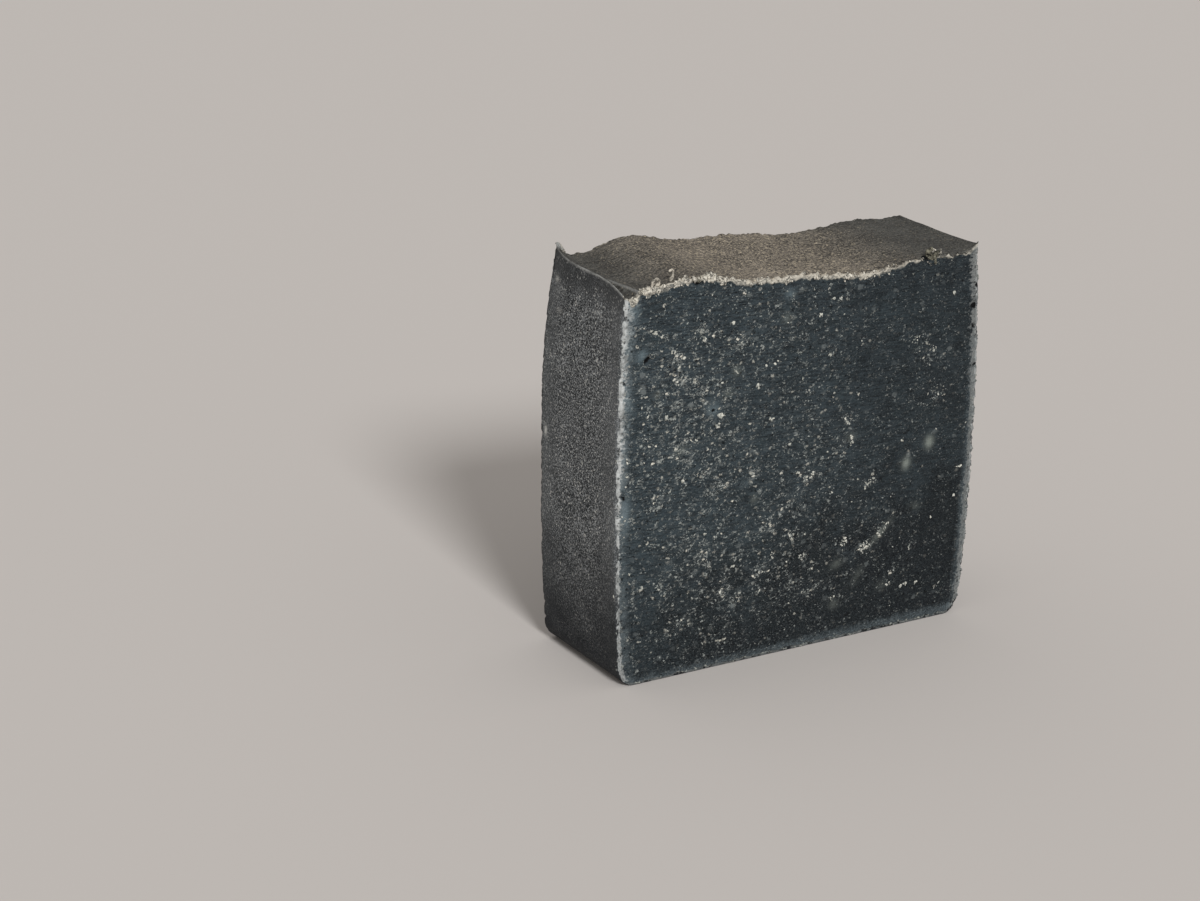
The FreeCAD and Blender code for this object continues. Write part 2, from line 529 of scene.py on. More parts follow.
bandLook = {
    "leftFoot": 0.34,                    # how wide the left band is at the foot
    "leftMiddle": 0.4,                   # and by how much it widens further up
    "leftTop": 0.3,
    "leftEdge": (0.6, 1.5),
    "leftHaze": (0.8, 2.6),
    "leftLine": (0.25, 0.6),
    "rightEdge": (0.9, 1.5),
    "rightHaze": (1.0, 2.8),
    "rightLine": (0.15, 0.5),
    "baseEdge": (0.8, 2.5),
    "baseLine": (0.35, 0.7),
    "topEdge": (0.25, 0.7),
    "tooth": 0.7,                        # size of the teeth along the right band, near the top
}
wallLook = {
    "worm": 0.27,                        # the fine worm-like grain that the mould left
    "wormContrast": (0.44, 0.7),
    "patch": 3.4,
    "speck": 0.4,
    "smoothBand": (1.5, 6.0),            # the wall is smooth below the rim
    "nearCut": (1.5, 8),                 # and smoother near the cuts
    # heights over which the painted shade at the foot of the walls fades
    "wallShadeHeights": (-2, 32),
}
topLook = {
    "dust": 0.36,
    "streakDrag": (0.2, 1, 1),
    "streak": 0.5,
    "crownMiddle": -4,                   # the middle of the top is paler and browner
    "crownReach": (33, 9),
    "dusty": (0.36, 0.66),
    "speck": 0.42,
    "darkSpeck": 0.45,
}


class SoapPlaces:
    # where each point lies, and the uneven patterns that several of the colours share

    def __init__(self, tree):
        origin = tree.node("ShaderNodeTexCoord", None, None, "Object")
        self.place = tree.scaled(origin, 1 / millimetre)
        self.field = {}
        for name in skinFields:
            self.field[name] = tree.node("ShaderNodeAttribute", {"attribute_name": name}, None, "Fac")
        self.x = tree.node("ShaderNodeSeparateXYZ", None, {0: self.place})
        self.z = self.x.other("Z")
        self.y = self.x.other("Y")
        self.fromCut = halfThickness - abs(self.y)
        self.ragged = tree.noise(self.place, sharedLook["ragged"], 3.0, 0.6)
        self.jagged = tree.noise(self.place, sharedLook["jagged"], 2.0, 0.6)
        self.wander = (self.ragged - 0.5) * 1.5 + (self.jagged - 0.5) * 1.6
        self.grit = tree.noise(self.place, sharedLook["grit"], 1.0) - 0.5
        self.clouds = tree.noise(self.place, sharedLook["cloud"], 2.0)
        self.chalk = tree.step(self.ragged * 0.6 + self.jagged * 0.4, *sharedLook["chalky"])
        self.thin = tree.step(self.x, *sharedLook["thinBrink"])


def cutColour(tree, at):
    # the inside, on the cuts: a dark ground, paler to the left as painted light and with painted shade at
    # the foot, with dragged grain, flecks and small pits darkened as painted shade
    look, colour, field = cutLook, soapColours, at.field
    place, x, z = at.place, at.x, at.z
    dragged = tree.stretched(place, look["drag"], look["levelTurn"])
    slanted = tree.stretched(place, look["drag"], look["slantTurn"])
    slanting = tree.step(tree.noise(place, look["slantPatch"], 1.0) + x * 0.006 - z * 0.004, 0.42, 0.6)

    def draggedNoise(size, detail=2.0, roughness=0.5):
        # the wire dragged the grain level in some places and slanting in others
        return tree.noise(dragged, size, detail, roughness) * (1 - slanting) + (
            tree.noise(slanted, size, detail, roughness) * slanting)

    broad = tree.noise(place, look["broad"], 3.0)
    # painted shade: the ground darkens towards the foot, more so to the right; painted light makes it paler
    # to the left
    shade = 1 - tree.step(z + (broad - 0.5) * 16, *look["footShade"])
    shade = shade * (0.66 + tree.step(x, -30, 5) * 0.3)
    lit = look["lightness"] - x * look["paintedLightLeft"] - shade
    lit = lit + (broad - 0.5) * 0.8 + (draggedNoise(2.2) - 0.5) * 0.7
    ground = tree.mixed(lit, colour["cutDeep"], colour["cutBlue"])
    crowd = tree.noise(place, look["crowdPatch"], 3.0, 0.6) * 1.1 - tree.step(x, -10, 32) * 0.18 - 0.34
    crowd = crowd + field["crowding"] * 0.36 + field["laceSpot"] * 0.4
    bend = tree.scaled(tree.noise(place, 0.6, 3.0, 0.7).other("Color"), 1.1)
    bentPlace = tree.vector("ADD", dragged, bend)

    def chipLayer(size, rareness, smallest, largest):
        # chips of soap in cells of one size: few of the chips are bright, and they are of all widths
        cell = tree.node("ShaderNodeSeparateXYZ", None, {0: tree.chips(bentPlace, size, "Color")})
        reach = smallest + (largest - smallest) * cell.other("Y")
        shape = 1 - tree.step(tree.chips(bentPlace, size) / reach, 0.75, 1.1)
        bright = cell + (crowd - 0.42) * 0.26 + field["laceSpot"] * 0.1
        return bright.atMost(1).power(rareness) * shape

    fine = tree.step(draggedNoise(look["fineGrain"], 2.0, 0.6), 0.38, 0.7)
    level = tree.noise(tree.stretched(place, look["levelDrag"]), look["levelGrain"], 2.0, 0.6)
    ground = tree.mixed(tree.step(level, 0.6, 0.36) * 0.7, ground, colour["cutDeep"])
    inside = tree.mixed(fine * (crowd * 0.34 + level * 0.44), ground, colour["grain"])
    nicks = tree.step(draggedNoise(look["nick"], 2.0, 0.7), 0.45, 0.34)
    inside = tree.mixed(nicks * 0.5, inside, colour["cutDeep"])
    threads = 1 - tree.step(abs(tree.noise(bentPlace, look["thread"]) - 0.5), 0.015, 0.065)
    breaks = tree.step(draggedNoise(look["threadBreak"], 3.0, 0.6) + crowd * 0.3, 0.67, 0.79)
    arcs = threads * breaks
    inside = tree.mixed(arcs * 0.9, inside, colour["lace"])
    blobs = chipLayer(look["blob"], look["blobRareness"], 0.2, 0.45)
    inside = tree.mixed(blobs * 0.7, inside, colour["blob"])
    sparks = chipLayer(look["spark"], look["sparkRareness"], 0.25, 0.55)
    inside = tree.mixed(sparks * 0.85, inside, colour["lace"])
    flecks = chipLayer(look["fleck"], look["fleckRareness"], 0.2, 0.5)
    inside = tree.mixed(flecks.atMost(1), inside, colour["fleck"])
    # the pits are darkened with painted shade in their hollows
    pit = tree.step(draggedNoise(look["pit"], 2.0, 0.6), 0.36, 0.28).atLeast(field["darkSpot"])
    inside = tree.mixed(pit * 0.7, inside, colour["hollowShade"])
    inside = tree.mixed(field["paleSpot"] * (0.75 + fine * 0.25), inside, colour["spot"])
    inside = tree.mixed(field["blueSpot"] * (0.5 + fine * 0.4), inside, colour["blueSpot"])
    height = fine * 0.3 + arcs * 0.5 + sparks * 0.4 + flecks * 0.6 + blobs * 0.3 - pit * 1.0
    return inside, fine, pit, height


def driedBands(tree, at, inside, fine, pit):
    # the dried band round each cut, palest beside the left wall and cream along the top
    look, colour, field = bandLook, soapColours, at.field
    x, z, grit, chalk = at.x, at.z, at.grit, at.chalk
    raggedness, jaggedness = at.ragged - 0.5, at.jagged - 0.5
    sound = 1 - pit * 0.9
    upward = tree.step(z, 8, 34)

    bandWidth = look["leftFoot"] + tree.step(z, 28, 46) * look["leftMiddle"] + (
        tree.step(z, 56, 66) * look["leftTop"])
    leftGap = field["gapLeft"] + (raggedness * 2.8 + grit * 3.2) * bandWidth + jaggedness * 1.2
    leftBand = 1 - tree.step(leftGap / bandWidth, *look["leftEdge"])
    leftHaze = 1 - tree.step(leftGap, *look["leftHaze"])
    chalky = tree.mixed(chalk, colour["edgeGrey"], colour["edgePale"])
    chalky = tree.mixed(tree.step(z, 54, 64) * 0.3, chalky, colour["edgeTeal"])
    hazy = tree.step(at.ragged * 0.5 + at.jagged * 0.5, 0.4, 0.6) * 0.7 + tree.step(z, 60, 66) * 0.3
    hazeShare = (hazy + fine * 0.3 + 0.04).atMost(1) * (0.4 + tree.step(z, 28, 42) * 0.6)
    inside = tree.mixed(leftHaze * sound * hazeShare, inside, colour["edgeTeal"])

    teeth = (tree.noise(tree.stretched(at.place, (0.35, 1, 1)), look["tooth"], 2.0, 0.7) - 0.5)
    teeth = teeth * tree.step(z, 40, 56)
    rightGap = field["gapRight"] + raggedness * 1.4 + jaggedness * 1.2 + teeth * 4 + grit
    rightBand = 1 - tree.step(rightGap - tree.step(z, 34, 50) * 0.2, *look["rightEdge"])
    rightHaze = 1 - tree.step(rightGap + abs(z - 20) * 0.02, *look["rightHaze"])
    rightLine = 1 - tree.step(field["gapRight"] + grit * 0.8, *look["rightLine"])
    inside = tree.mixed(rightHaze * sound * (0.3 + fine * 0.35), inside, colour["edgeBlue"])
    inside = tree.mixed(rightBand * sound * (0.2 + chalk * 0.35 + fine * 0.3), inside, colour["edgeGrey"])
    inside = tree.mixed(rightLine * (0.1 + chalk * 0.4), inside, colour["edgePale"])

    baseBand = 1 - tree.step(field["gapBase"] + at.wander * 0.8 + grit - x * 0.014, *look["baseEdge"])
    baseLine = 1 - tree.step(field["gapBase"] + at.wander * 0.4, *look["baseLine"])
    inside = tree.mixed(baseBand * sound * (0.22 + fine * 0.5), inside, colour["edgeBlue"])
    inside = tree.mixed(baseLine * sound * (0.2 + chalk * 0.4), inside, colour["edgeGrey"])

    leftLine = 1 - tree.step(field["gapLeft"] + grit * 1.2 + jaggedness * 0.8, *look["leftLine"])
    inside = tree.mixed(leftBand * sound * (0.6 + chalk * 0.4) * (0.5 + upward * 0.5), inside, chalky)
    lineShare = leftLine * (0.35 + chalk * 0.5) * (0.4 + upward * 0.6)
    inside = tree.mixed(lineShare, inside, colour["edgePale"])

    topBand = 1 - tree.step(field["gapTop"] + at.wander * 0.5 + at.thin * 0.25, *look["topEdge"])
    return tree.mixed(topBand * sound * (0.2 + chalk * 0.7), inside, colour["edgeCream"])


def wallColour(tree, at):
    # the walls and base, as the mould left them: grey with a fine worm-like grain, and darkened towards the
    # foot by painted shade
    look, colour, field = wallLook, soapColours, at.field
    cloudiness = at.clouds - 0.5
    worms = tree.noise(at.place, look["worm"], 2.0, 0.7, 0.6)
    smoothBand = 1 - tree.step(field["gapTop"] + cloudiness * 4, *look["smoothBand"])
    nearCut = 1 - tree.step(at.fromCut + cloudiness * 6, *look["nearCut"])
    contrast = (1 - smoothBand * 0.4) * (1 - nearCut * 0.5)
    patches = tree.noise(at.place, look["patch"], 3.0, 0.6) - 0.5
    grain = tree.step(worms + patches * 0.07, *look["wormContrast"]) * contrast + (1 - contrast) * 0.26
    wall = tree.mixed(grain + cloudiness * 0.25, colour["wallDark"], colour["wallPale"])
    wall = tree.mixed(smoothBand * 0.6, wall, colour["wallSmooth"])
    specks = tree.step(tree.noise(at.place, look["speck"], 1.0) + patches * 0.16, 0.65, 0.71) * contrast
    wall = tree.mixed(specks * 0.85, wall, colour["wallLight"])
    wall = tree.mixed(field["wallMark"], wall, colour["wallLight"])
    # painted shade: the walls and base darken towards the foot
    foot = 1 - tree.step(at.z + cloudiness * 10, *look["wallShadeHeights"])
    return tree.mixed(foot * 0.92, wall, colour["wallFootShade"]), worms


def topColour(tree, at):
    # the top, which set in air: brownish and dusty, with warm specks and faint streaks across
    look, colour = topLook, soapColours
    dust = tree.noise(at.place, look["dust"], 3.0, 0.75)
    streaks = tree.noise(tree.stretched(at.place, look["streakDrag"]), look["streak"])
    crown = tree.step(abs(at.x - look["crownMiddle"]), *look["crownReach"])
    dusty = (dust - 0.5) * (0.7 + crown * 0.3) + 0.5 + (streaks - 0.5) * 0.24 + (at.clouds - 0.5) * 0.16
    topShade = tree.mixed(crown, colour["topGrey"], colour["topPale"])
    top = tree.mixed(tree.step(dusty, *look["dusty"]), colour["topDark"], topShade)
    specks = tree.step(tree.noise(at.place, look["speck"], 1.0) + crown * 0.05, 0.64, 0.7)
    top = tree.mixed(specks * (0.2 + crown * 0.45), top, colour["topLight"])
    darkSpecks = tree.step(tree.noise(at.place, look["darkSpeck"], 1.0), 0.38, 0.3)
    top = tree.mixed(darkSpecks * 0.45, top, colour["topDark"])
    return foldColour(tree, at, top), dust


def foldColour(tree, at, top):
    # the fold's pale crest, a painted shadow in the crease behind it and the shelf in front of it
    colour = soapColours
    (startX, startY), (runX, runY) = topForms["foldStart"], foldRun()
    present = tree.step((at.x - startX) * runX + (at.y - startY) * runY, 0, 4)
    outward = (at.x - startX) * runY - (at.y - startY) * runX
    crest = (1 - tree.step(abs(outward - 0.15), 0.05, 0.25)) * present
    # painted shadow along the crease behind the fold
    creaseShadow = (1 - tree.step(abs(outward + 0.25), 0.1, 0.26)) * present
    shelf = tree.step(outward, 0.3, 0.6) * present
    top = tree.mixed(shelf * 0.12, top, colour["topDark"])
    top = tree.mixed(crest * 0.3, top, colour["rimPale"])
    return tree.mixed(creaseShadow * 0.9, top, colour["hollowShade"])


def soapMaterial():
    material, tree = newMaterial("dark soap")
    at = SoapPlaces(tree)
    colour, field = soapColours, at.field
    raggedness = at.ragged - 0.5
    inside, fine, pit, cutHeight = cutColour(tree, at)
    inside = driedBands(tree, at, inside, fine, pit)
    wall, worms = wallColour(tree, at)
    top, dust = topColour(tree, at)

    onTop = 1 - tree.step(field["gapTop"], 0.15, 0.5)
    skin = tree.mixed(onTop, wall, top)
    rimGap = field["gapTop"] + field["gapLeft"] + raggedness * 1.1
    rim = (1 - tree.step(rimGap, 0.2, 0.75)) * (0.3 + at.chalk * 0.6)
    skin = tree.mixed(rim, skin, colour["rimPale"])
    brink = 1 - tree.step(at.fromCut + at.wander * 0.35 + at.thin * 0.35, 0.25, 0.8)
    skin = tree.mixed(brink * onTop, skin, colour["edgeCream"])
    cutReach = 0.3 + (1 - onTop) * 0.18
    onCut = 1 - tree.step(at.fromCut + raggedness * 0.3 - cutReach, -0.02, 0.06)
    soap = tree.mixed(onCut, skin, inside)
    # painted shade fills the hollows carved at the dark spots
    hole = tree.step(field["darkSpot"] + raggedness * 0.4, 0.3, 0.5)
    soap = tree.mixed(hole, soap, colour["hollowShade"])
    height = cutHeight * onCut + (worms * 0.6 + dust * 0.6) * (1 - onCut)
    finishMaterial(tree, soap, 0.62 + fine * 0.12, height, 0.25, 0.15)
    return material


def crumbMaterial(name, dark, pale):
    material, tree = newMaterial(name)
    place = tree.scaled(tree.node("ShaderNodeTexCoord", None, None, "Object"), 1 / millimetre)
    patches = tree.noise(place, 0.8, 3.0, 0.6)
    grain = tree.noise(place, 0.18, 2.0, 0.6)
    colour = tree.mixed(tree.step(patches * 0.6 + grain * 0.4, 0.38, 0.6), dark, pale)
    finishMaterial(tree, colour, 0.68 + grain * 0.15, grain, 0.06, 0.2)
    return material


print("Mixing the materials")
darkSoap = soapMaterial()
creamCrumb = crumbMaterial("dried cream crumb", srgb(58, 57, 54), srgb(222, 217, 204))
greyCrumb = crumbMaterial("dried grey crumb", srgb(66, 75, 80), srgb(156, 158, 152))
fleckSoap = crumbMaterial("pale fleck", srgb(112, 117, 114), srgb(214, 213, 203))
greyCurl = crumbMaterial("grey curl", srgb(112, 109, 102), srgb(204, 197, 183))
tornSoap = crumbMaterial("torn soap", srgb(14, 15, 15), srgb(132, 129, 114))


# The roughness of the surface: wire marks and pits on the cuts, the mould's and the air's marks elsewhere

reliefSizes = {
    "Cut Grain": 0.16,
    "Cut Wave": 0.22,
    "Pit Depth": 0.4,
    "Wall Wave": 0.22,
    "Top Roll": 0.3,
    "Edge Bite": 0.45,
    "Brink Rise": 0.55,
}
reliefPatterns = {
    "drag": (0.5, 1.0, 1.1),     # the wire drew the marks on the cuts out along X
    "grain": 1.0,
    "waveDrag": (0.3, 1, 1),
    "wave": 5,
    "pit": 1.3,
    "bite": 1.5,                 # size of the bites out of the cuts' edges
    "wallWave": 8,
    "wallRipple": 1.0,
    "wallRippleDepth": 0.08,
    "rollDrag": (0.7, 1, 1),
    "roll": 6,
    "brink": 1.3,                # size of the heaps along the brinks
}


def reliefTree(material):
    tree, size = newGeometryTree("soap relief", reliefSizes)
    where = tree.node("GeometryNodeInputPosition")
    place = tree.scaled(where, 1 / millimetre)
    y = tree.node("ShaderNodeSeparateXYZ", None, {0: place}, 1)
    field = {name: tree.node("GeometryNodeInputNamedAttribute", {"data_type": "FLOAT"}, {"Name": name})
             for name in ("gapLeft", "gapRight", "gapTop", "gapBase", "darkSpot")}
    look = reliefPatterns
    fromCut = halfThickness - abs(y)

    # wire marks, waves and pits on the cuts
    onCut = 1 - tree.step(fromCut, 0.1, 0.6)
    dragged = tree.stretched(place, look["drag"])
    grain = tree.step(tree.noise(dragged, look["grain"], 3.0, 0.6), 0.3, 0.65)
    wave = tree.noise(tree.stretched(place, look["waveDrag"]), look["wave"])
    pit = tree.step(tree.noise(dragged, look["pit"], 2.0, 0.6), 0.33, 0.24).atLeast(field["darkSpot"])
    cutDepth = (1 - grain) * size["Cut Grain"] + wave * size["Cut Wave"] + pit * size["Pit Depth"]

    # bites out of the cuts' edges, and soft waves on the walls
    side = field["gapLeft"].atMost(field["gapRight"]).atMost(field["gapTop"]).atMost(field["gapBase"])
    bite = (1 - tree.step(side, 0, 1.3)) * tree.step(tree.noise(place, look["bite"], 3.0, 0.65), 0.42, 0.68)
    nearEdge = 1 - tree.step(fromCut, 0.2, 1.2)
    ripple = tree.noise(place, look["wallRipple"]) * look["wallRippleDepth"]
    wallDepth = tree.noise(place, look["wallWave"]) * size["Wall Wave"] + ripple
    depth = cutDepth * onCut + wallDepth * (1 - onCut) + bite * nearEdge * size["Edge Bite"]

    # a rolling top, with heaps along its brinks
    onTop = 1 - tree.step(field["gapTop"], 0.3, 2.0)
    roll = tree.noise(tree.stretched(place, look["rollDrag"]), look["roll"], 3.0, 0.55) - 0.5
    heaps = tree.step(tree.noise(place, look["brink"], 3.0, 0.7), 0.4, 0.66)
    brink = onTop * (1 - tree.step(fromCut, 0.5, 1.3)) * heaps * (1 - tree.step(y, 5, 10) * 0.5)
    lift = roll * size["Top Roll"] * onTop + brink * size["Brink Rise"]
    onBase = 1 - tree.step(field["gapBase"], 0.05, 0.6)
    normal = tree.node("GeometryNodeInputNormal")
    inward = tree.scaled(normal, depth * (1 - onBase * (1 - onCut)) * -millimetre)
    upward = tree.node("ShaderNodeCombineXYZ", None, {2: lift * millimetre})
    offset = tree.vector("ADD", inward, upward)
    moved = tree.node("GeometryNodeSetPosition", None, {"Geometry": size["Geometry"], "Offset": offset})
    smooth = tree.node("GeometryNodeSetShadeSmooth", None, {"Geometry": moved, "Shade Smooth": True})
    return closeGeometryTree(tree, smooth, material)


print("Roughening the surface")
soapSurface = grown("soap_surface", skinMesh, reliefTree(darkSoap), reliefSizes)
keepInside(soapSurface.data)


# Crumbs of dried soap: a few dozen faces each, turned and squeezed at random, half sunk in the surface

crumbSizes = {
    "Density": 1.0,          # crumbs on a square millimetre, where there are most
    "Smallest": 0.2,
    "Largest": 0.6,
    "Rareness": 2.0,         # how few of the crumbs are large
    "Flatness": 0.6,         # height of a crumb as a share of its width
    "Roughness": 0.25,
    "Seed": 1,
}


def crumbBlank(tree):
    # a small rounded block, 1 across, that every crumb is made from
    inputs = {"Vertices X": 3, "Vertices Y": 3, "Vertices Z": 3}
    cube = tree.node("GeometryNodeMeshCube", None, inputs)
    rounded = tree.scaled(tree.vector("NORMALIZE", tree.node("GeometryNodeInputPosition")), 0.5)
    return tree.node("GeometryNodeSetPosition", None, {"Geometry": cube, "Position": rounded})


def torn(tree, geometry, fineness, depth):
    # an uneven, broken surface
    place = tree.scaled(tree.node("GeometryNodeInputPosition"), 1 / millimetre)
    inputs = {"Vector": place, "Scale": fineness, "Detail": 2.0}
    uneven = tree.node("ShaderNodeTexNoise", None, inputs, "Color")
    shift = tree.scaled(tree.vector("SUBTRACT", uneven, (0.5, 0.5, 0.5)), depth * millimetre)
    moved = tree.node("GeometryNodeSetPosition", None, {"Geometry": geometry, "Offset": shift})
    return tree.node("GeometryNodeSetShadeSmooth", None, {"Geometry": moved, "Shade Smooth": True})


def scatterTree(name, material):
    tree, size = newGeometryTree(name, crumbSizes)
    weight = tree.node("GeometryNodeInputNamedAttribute", {"data_type": "FLOAT"}, {"Name": "crumbs"})
    perSquareMetre = weight * size["Density"] / millimetre / millimetre
    inputs = {"Mesh": size["Geometry"], "Density": perSquareMetre, "Seed": size["Seed"]}
    middles = tree.node("GeometryNodeDistributePointsOnFaces", None, inputs)

    def chance(low, high, step):
        # 2 and 3 are the number sockets of a Random Value node
        inputs = {2: low, 3: high, "Seed": size["Seed"] + step}
        return tree.node("FunctionNodeRandomValue", {"data_type": "FLOAT"}, inputs, 1)

    large = chance(0.0, 1.0, 1).power(size["Rareness"])
    growth = tree.node("GeometryNodeInputNamedAttribute", {"data_type": "FLOAT"}, {"Name": "growth"})
    width = (size["Smallest"] + (size["Largest"] - size["Smallest"]) * large) * growth * millimetre
    height = width * size["Flatness"] * chance(0.7, 1.3, 3)
    scale = tree.node("ShaderNodeCombineXYZ", None, {0: width * chance(0.8, 1.6, 2), 1: width, 2: height})
    spin = tree.node("ShaderNodeCombineXYZ", None, {
        0: chance(-0.5, 0.5, 5), 1: chance(-0.5, 0.5, 6), 2: chance(0.0, 2 * math.pi, 4)})
    spin = tree.node("FunctionNodeEulerToRotation", None, {0: spin})
    turn = tree.node("FunctionNodeRotateRotation", {"rotation_space": "LOCAL"},
                     {0: middles.other("Rotation"), 1: spin})
    inputs = {"Points": middles, "Instance": crumbBlank(tree), "Rotation": turn, "Scale": scale}
    placed = tree.node("GeometryNodeInstanceOnPoints", None, inputs)
    real = tree.node("GeometryNodeRealizeInstances", None, {"Geometry": placed})
    return closeGeometryTree(tree, torn(tree, real, 2.2, size["Roughness"] * 2), material)


def scattered(name, material, weights, growth, sizes):
    # weights say how closely the crumbs lie, and growth how large they are, at each point of the surface
    ground = soapSurface.data.copy()
    for fieldName, values in (("crumbs", weights), ("growth", growth)):
        field = ground.attributes.new(fieldName, "FLOAT", "POINT")
        field.data.foreach_set("value", values.astype(np.float32))
    piece = grown(name, ground, scatterTree(name + " tree", material), sizes)
    keepInside(piece.data)
    print(name, "has", len(piece.data.polygons), "faces")
    return piece


roughPoints = pointsOf(soapSurface.data) / millimetre
fromCut = halfThickness - np.abs(roughPoints[:, 1])
fromLeft, fromRight, fromTop, fromBase = skinGaps.T
atFront = roughPoints[:, 1] < 0
onFrontCut = atFront & (fromCut < 0.75)

brinkWeight = smoothed(-fromTop, -0.8, -0.3) * smoothed(-fromCut, -1.0, -0.4)
brinkWeight = brinkWeight * np.where(atFront, 1 - 0.8 * smoothed(skinX, 14, 23), 0.15) * (fromLeft > 1)
brinkWeight = brinkWeight * (np.abs(skinX - 24.6) > 1.2)
brinkGrowth = 1 - 0.4 * smoothed(skinX, -24, -16) - 0.2 * smoothed(skinX, 8, 24)
brinkCrumbs = scattered("brink_crumbs", creamCrumb, brinkWeight, brinkGrowth, {
    "Density": 3.6, "Smallest": 0.2, "Largest": 1.05, "Rareness": 2.6, "Flatness": 0.7, "Roughness": 0.5,
    "Seed": 11})

edgeWeight = np.maximum(smoothed(-fromRight, -0.8, -0.2), smoothed(-fromBase, -0.8, -0.2))
edgeWeight = np.maximum(edgeWeight, 0.3 * smoothed(-fromLeft, -0.5, -0.1))
edgeWeight = edgeWeight * smoothed(-fromCut, -0.8, -0.3) * smoothed(fromBase, 0.1, 0.3)
edgeWeight = edgeWeight * np.where(atFront | (skinX > -30), 1, 0)
edgeWeight = edgeWeight * (1 + 1.5 * smoothed(-fromBase, -0.9, -0.4) * smoothed(skinX, -20, 10))
edgeCrumbs = scattered("edge_crumbs", greyCrumb, edgeWeight, 1 + 0 * edgeWeight, {
    "Density": 3.0, "Smallest": 0.18, "Largest": 0.5, "Rareness": 2.5, "Flatness": 0.6, "Roughness": 0.3,
    "Seed": 23})

cutWeight = (fromCut < 0.75) * (0.2 + marked(skinX, skinZ, crowded, 1))
bandInside = smoothed(fromLeft, 0.7, 1.0) * smoothed(-fromLeft, -2.0, -1.4) * smoothed(skinZ, 26, 32)
cutWeight = cutWeight + (fromCut < 0.75) * 6 * bandInside * smoothed(-skinZ, -64, -60)
cutFlecks = scattered("cut_flecks", fleckSoap, cutWeight, 1 + 0 * cutWeight, {
    "Density": 0.055, "Smallest": 0.18, "Largest": 0.8, "Rareness": 2.4, "Flatness": 0.2, "Roughness": 0.5,
    "Seed": 37})


# Flecks and torn lumps that stand where they do on the real bar, each a group of crumbs

fleckGroups = [
    # x, z, length, width, slant in degrees, crumbs, crumb size
    (-17.7, 45.5, 1.4, 0.8, 15, 9, 0.6), (-18.2, 43.6, 0.8, 1.2, 0, 7, 0.5),
    (-10.4, 49.4, 0.6, 0.8, 0, 4, 0.6), (-7.4, 43.5, 1.3, 0.6, -35, 6, 0.5),
    (-25.7, 52.8, 1.6, 1.2, 20, 9, 0.3), (-25.9, 41.4, 1.6, 0.4, 40, 7, 0.35),
    (-22.2, 42.0, 1.4, 0.3, 45, 6, 0.3), (9.8, 37.7, 1.0, 0.7, -30, 6, 0.4),
    (8.8, 40.6, 1.8, 0.4, -50, 8, 0.32), (1.2, 31.8, 2.2, 0.8, 22, 14, 0.36),
    (14.4, 28.5, 2.4, 1.2, 25, 20, 0.32), (14.2, 16.9, 2.2, 1.8, 38, 26, 0.34),
    (18.2, 19.4, 3.6, 0.9, 40, 20, 0.28), (9.6, 18.4, 1.5, 1.0, 30, 12, 0.36),
    (-1.8, 21.6, 2.4, 1.4, -40, 14, 0.3), (0.6, 17.2, 1.4, 1.2, 20, 9, 0.3),
    (34.3, 28.4, 1.6, 0.3, 0, 7, 0.35), (4.5, 63.0, 0.3, 0.3, 0, 2, 0.5),
    (1.9, 60.2, 0.6, 0.9, 20, 6, 0.35), (23.5, 7.7, 1.4, 0.5, 12, 9, 0.42),
    (22.7, 53.5, 1.6, 1.6, 0, 9, 0.26), (26.2, 51.4, 2.0, 1.4, -30, 10, 0.26),
    (-10.2, 34.1, 1.6, 0.7, 15, 9, 0.3), (-31.0, 61.5, 1.6, 0.5, -20, 9, 0.4),
    (-29.9, 60.9, 1.0, 0.5, -40, 5, 0.36), (-22.1, 60.5, 0.5, 1.1, -10, 7, 0.42),
    (-21.5, 59.4, 0.9, 0.4, -50, 5, 0.34), (-27.1, 57.5, 1.6, 0.6, -40, 10, 0.38),
    (-26.0, 55.0, 0.5, 1.0, 0, 6, 0.4), (-25.3, 56.5, 0.8, 0.5, -30, 4, 0.42),
    (8.0, 8.2, 1.8, 0.9, 10, 9, 0.3), (-26.9, 52.8, 0.6, 0.8, 0, 5, 0.4),
    (-22.9, 52.1, 1.4, 1.0, 30, 8, 0.3), (-14.9, 52.8, 1.0, 0.4, -40, 6, 0.3),
    (-13.8, 58.0, 0.7, 1.3, 15, 8, 0.3), (-8.6, 15.7, 2.0, 0.3, 25, 9, 0.3),
    (-12.0, 12.9, 1.0, 0.3, -30, 5, 0.34), (-8.1, 12.6, 1.4, 0.6, 10, 7, 0.28),
    (-19.7, 25.1, 0.6, 0.4, 0, 3, 0.4), (-5.7, 18.6, 0.6, 1.2, 20, 7, 0.3),
    (-18.8, 19.0, 0.5, 1.0, 20, 6, 0.28), (24.3, 14.8, 0.5, 0.9, 10, 5, 0.28),
    (26.1, 7.9, 0.8, 0.6, 50, 5, 0.32), (20.1, 8.6, 1.2, 0.5, 30, 7, 0.28),
    (10.0, 36.5, 0.8, 0.6, 20, 5, 0.36),
]
brinkLumps = [
    # x, y, height above the brink, length, height, crumbs, crumb size
    (-33.6, -12.2, 0.1, 1.4, 0.4, 8, 0.4), (-32.3, -12.2, 0.2, 0.9, 0.5, 8, 0.55),
    (-20.8, -12.2, 0.2, 1.4, 0.4, 8, 0.5), (-25.6, -12.2, 0.1, 1.8, 0.3, 7, 0.45),
    (25.4, -12.5, 1.7, 0.9, 0.3, 6, 0.3), (26.6, -12.5, 0.7, 0.4, 0.9, 6, 0.3),
    (22.9, -12.5, -0.2, 0.5, 0.9, 7, 0.32), (24.6, -12.6, -0.9, 0.9, 0.3, 5, 0.25),
]
